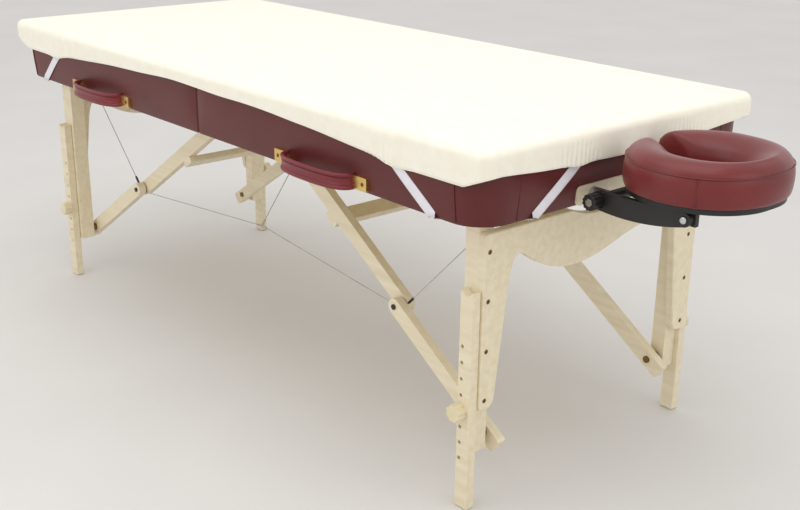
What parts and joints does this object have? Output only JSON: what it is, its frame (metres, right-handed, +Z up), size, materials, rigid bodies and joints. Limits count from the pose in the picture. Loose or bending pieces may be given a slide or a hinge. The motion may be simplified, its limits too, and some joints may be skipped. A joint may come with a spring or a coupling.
{
  "type": "portable massage table",
  "caption": "Folding massage table with padded two-part top, fitted sheet, height-adjustable wooden legs, folding braces with cables, carrying handles and a face cradle.",
  "frame": {"origin": "on the floor, under the middle of the open table with its face cradle", "axes": "+X towards the head end and its face cradle, -Y towards the side with the carrying handles, +Z up"},
  "size_m": [2.1754, 0.848, 0.7533],
  "materials": {
    "maple": "satin lacquer",
    "deck_ply": "plain plywood",
    "table_vinyl": "soft satin vinyl",
    "cradle_vinyl": "soft satin vinyl",
    "foam": "open foam",
    "sheet_cotton": "matt woven cotton",
    "elastic": "woven elastic",
    "brass": "polished",
    "black_steel": "satin black",
    "cable_steel": "stranded wire",
    "hinge_steel": "nickel plated",
    "rod_aluminium": "satin",
    "black_plastic": "satin",
    "cream_plastic": "satin"
  },
  "bodies": {
    "foot_half": {"foot_side_rails": "maple", "foot_end_rail": "maple", "foot_hinge_rail": "maple", "foot_deck_panel": "deck_ply", "foot_foam_pad": "foam", "foot_vinyl_cover": "table_vinyl", "foot_hinge_leaf": "hinge_steel", "foot_handle": "table_vinyl", "foot_handle_plates": "brass", "foot_pivot_bolts": "black_steel", "foot_sheet": "sheet_cotton", "foot_corner_straps": "elastic", "foot_brace_cables": "cable_steel", "hinge_pin": "hinge_steel"},
    "head_half": {"head_side_rails": "maple", "head_end_rail": "maple", "head_hinge_rail": "maple", "head_deck_panel": "deck_ply", "head_foam_pad": "foam", "head_vinyl_cover": "table_vinyl", "head_hinge_leaf": "hinge_steel", "head_handle": "table_vinyl", "head_handle_plates": "brass", "head_pivot_bolts": "black_steel", "head_sheet": "sheet_cotton", "head_corner_straps": "elastic", "head_brace_cables": "cable_steel", "cradle_port_plate": "maple"},
    "head_legs": {"head_end_panel": "maple", "head_leg_posts": "maple", "head_leg_fasteners": "black_steel"},
    "head_upper_brace": {"head_upper_braces": "maple", "head_brace_crossbar": "maple"},
    "head_lower_brace": {"head_lower_braces": "maple", "head_knee_pins": "black_steel"},
    "head_extension_near_body": {"head_extension_near": "maple"},
    "head_knob_near_body": {"head_knob_near": "cream_plastic"},
    "head_extension_far_body": {"head_extension_far": "maple"},
    "head_knob_far_body": {"head_knob_far": "cream_plastic"},
    "foot_legs": {"foot_end_panel": "maple", "foot_leg_posts": "maple", "foot_leg_fasteners": "black_steel"},
    "foot_upper_brace": {"foot_upper_braces": "maple", "foot_brace_crossbar": "maple"},
    "foot_lower_brace": {"foot_lower_braces": "maple", "foot_knee_pins": "black_steel"},
    "foot_extension_near_body": {"foot_extension_near": "maple"},
    "foot_knob_near_body": {"foot_knob_near": "cream_plastic"},
    "foot_extension_far_body": {"foot_extension_far": "maple"},
    "foot_knob_far_body": {"foot_knob_far": "cream_plastic"},
    "cradle_frame": {"cradle_rods": "rod_aluminium", "cradle_yoke": "black_steel"},
    "cradle_arm_pair": {"cradle_arms": "black_plastic"},
    "cradle_head": {"cradle_board": "black_plastic", "cradle_tilt_plate": "rod_aluminium", "cradle_pad": "cradle_vinyl"},
    "cradle_knob_near_body": {"cradle_knob_near": "black_plastic"},
    "cradle_knob_far_body": {"cradle_knob_far": "black_plastic"}
  },
  "joints": [
    {"name": "table_fold", "type": "hinge", "parent": "foot_half", "child": "head_half", "pos_m": [-0.15525, 0.018, 0.6015], "axis": [0, 1, 0], "range_deg": [0, 90], "deforming": ["head_brace_cables", "foot_brace_cables"]},
    {"name": "head_leg_fold", "type": "hinge", "parent": "head_half", "child": "head_legs", "pos_m": [0.67175, 0.018, 0.645], "axis": [0, 1, 0], "range_deg": [0, 90], "deforming": ["head_brace_cables"]},
    {"name": "head_upper_brace_fold", "type": "hinge", "parent": "head_half", "child": "head_upper_brace", "pos_m": [-0.11025, 0.018, 0.648], "axis": [0, -1, 0], "range_deg": [0, 33.12]},
    {"name": "head_lower_brace_fold", "type": "hinge", "parent": "head_legs", "child": "head_lower_brace", "pos_m": [0.66875, 0.018, 0.14], "axis": [0, 1, 0], "range_deg": [0, 56.9]},
    {"name": "head_extension_near_slide", "type": "slide", "parent": "head_legs", "child": "head_extension_near_body", "axis": [0, 0, -1], "range_m": [-0.102, 0.136]},
    {"name": "head_knob_near_turn", "type": "hinge", "parent": "head_extension_near_body", "child": "head_knob_near_body", "pos_m": [0.67675, -0.337, 0.211], "axis": [0, -1, 0], "continuous": true},
    {"name": "head_extension_far_slide", "type": "slide", "parent": "head_legs", "child": "head_extension_far_body", "axis": [0, 0, -1], "range_m": [-0.102, 0.136]},
    {"name": "head_knob_far_turn", "type": "hinge", "parent": "head_extension_far_body", "child": "head_knob_far_body", "pos_m": [0.67675, 0.373, 0.211], "axis": [0, 1, 0], "continuous": true},
    {"name": "foot_leg_fold", "type": "hinge", "parent": "foot_half", "child": "foot_legs", "pos_m": [-0.98225, 0.018, 0.645], "axis": [0, -1, 0], "range_deg": [0, 90], "deforming": ["foot_brace_cables"]},
    {"name": "foot_upper_brace_fold", "type": "hinge", "parent": "foot_half", "child": "foot_upper_brace", "pos_m": [-0.20025, 0.018, 0.648], "axis": [0, 1, 0], "range_deg": [0, 33.12]},
    {"name": "foot_lower_brace_fold", "type": "hinge", "parent": "foot_legs", "child": "foot_lower_brace", "pos_m": [-0.97925, 0.018, 0.14], "axis": [0, -1, 0], "range_deg": [0, 56.9]},
    {"name": "foot_extension_near_slide", "type": "slide", "parent": "foot_legs", "child": "foot_extension_near_body", "axis": [0, 0, -1], "range_m": [-0.102, 0.136]},
    {"name": "foot_knob_near_turn", "type": "hinge", "parent": "foot_extension_near_body", "child": "foot_knob_near_body", "pos_m": [-0.98725, -0.337, 0.211], "axis": [0, -1, 0], "continuous": true},
    {"name": "foot_extension_far_slide", "type": "slide", "parent": "foot_legs", "child": "foot_extension_far_body", "axis": [0, 0, -1], "range_m": [-0.102, 0.136]},
    {"name": "foot_knob_far_turn", "type": "hinge", "parent": "foot_extension_far_body", "child": "foot_knob_far_body", "pos_m": [-0.98725, 0.373, 0.211], "axis": [0, 1, 0], "continuous": true},
    {"name": "cradle_slide", "type": "slide", "parent": "head_half", "child": "cradle_frame", "axis": [1, 0, 0], "range_m": [0, 0.09]},
    {"name": "cradle_arm_tilt", "type": "hinge", "parent": "cradle_frame", "child": "cradle_arm_pair", "pos_m": [0.80275, 0.018, 0.624], "axis": [0, 1, 0], "range_deg": [-8, 40]},
    {"name": "cradle_head_tilt", "type": "hinge", "parent": "cradle_arm_pair", "child": "cradle_head", "pos_m": [0.99275, 0.018, 0.634], "axis": [0, 1, 0], "range_deg": [0, 45]},
    {"name": "cradle_knob_near_turn", "type": "hinge", "parent": "cradle_frame", "child": "cradle_knob_near_body", "pos_m": [0.80275, -0.127, 0.624], "axis": [0, -1, 0], "continuous": true},
    {"name": "cradle_knob_far_turn", "type": "hinge", "parent": "cradle_frame", "child": "cradle_knob_far_body", "pos_m": [0.80275, 0.163, 0.624], "axis": [0, 1, 0], "continuous": true}
  ],
  "couplings": [
    {"joint": "head_upper_brace_fold", "follows": "head_leg_fold", "ratio": 0.36788},
    {"joint": "head_lower_brace_fold", "follows": "head_leg_fold", "ratio": 0.63212},
    {"joint": "foot_upper_brace_fold", "follows": "foot_leg_fold", "ratio": 0.36788},
    {"joint": "foot_lower_brace_fold", "follows": "foot_leg_fold", "ratio": 0.63212}
  ]
}
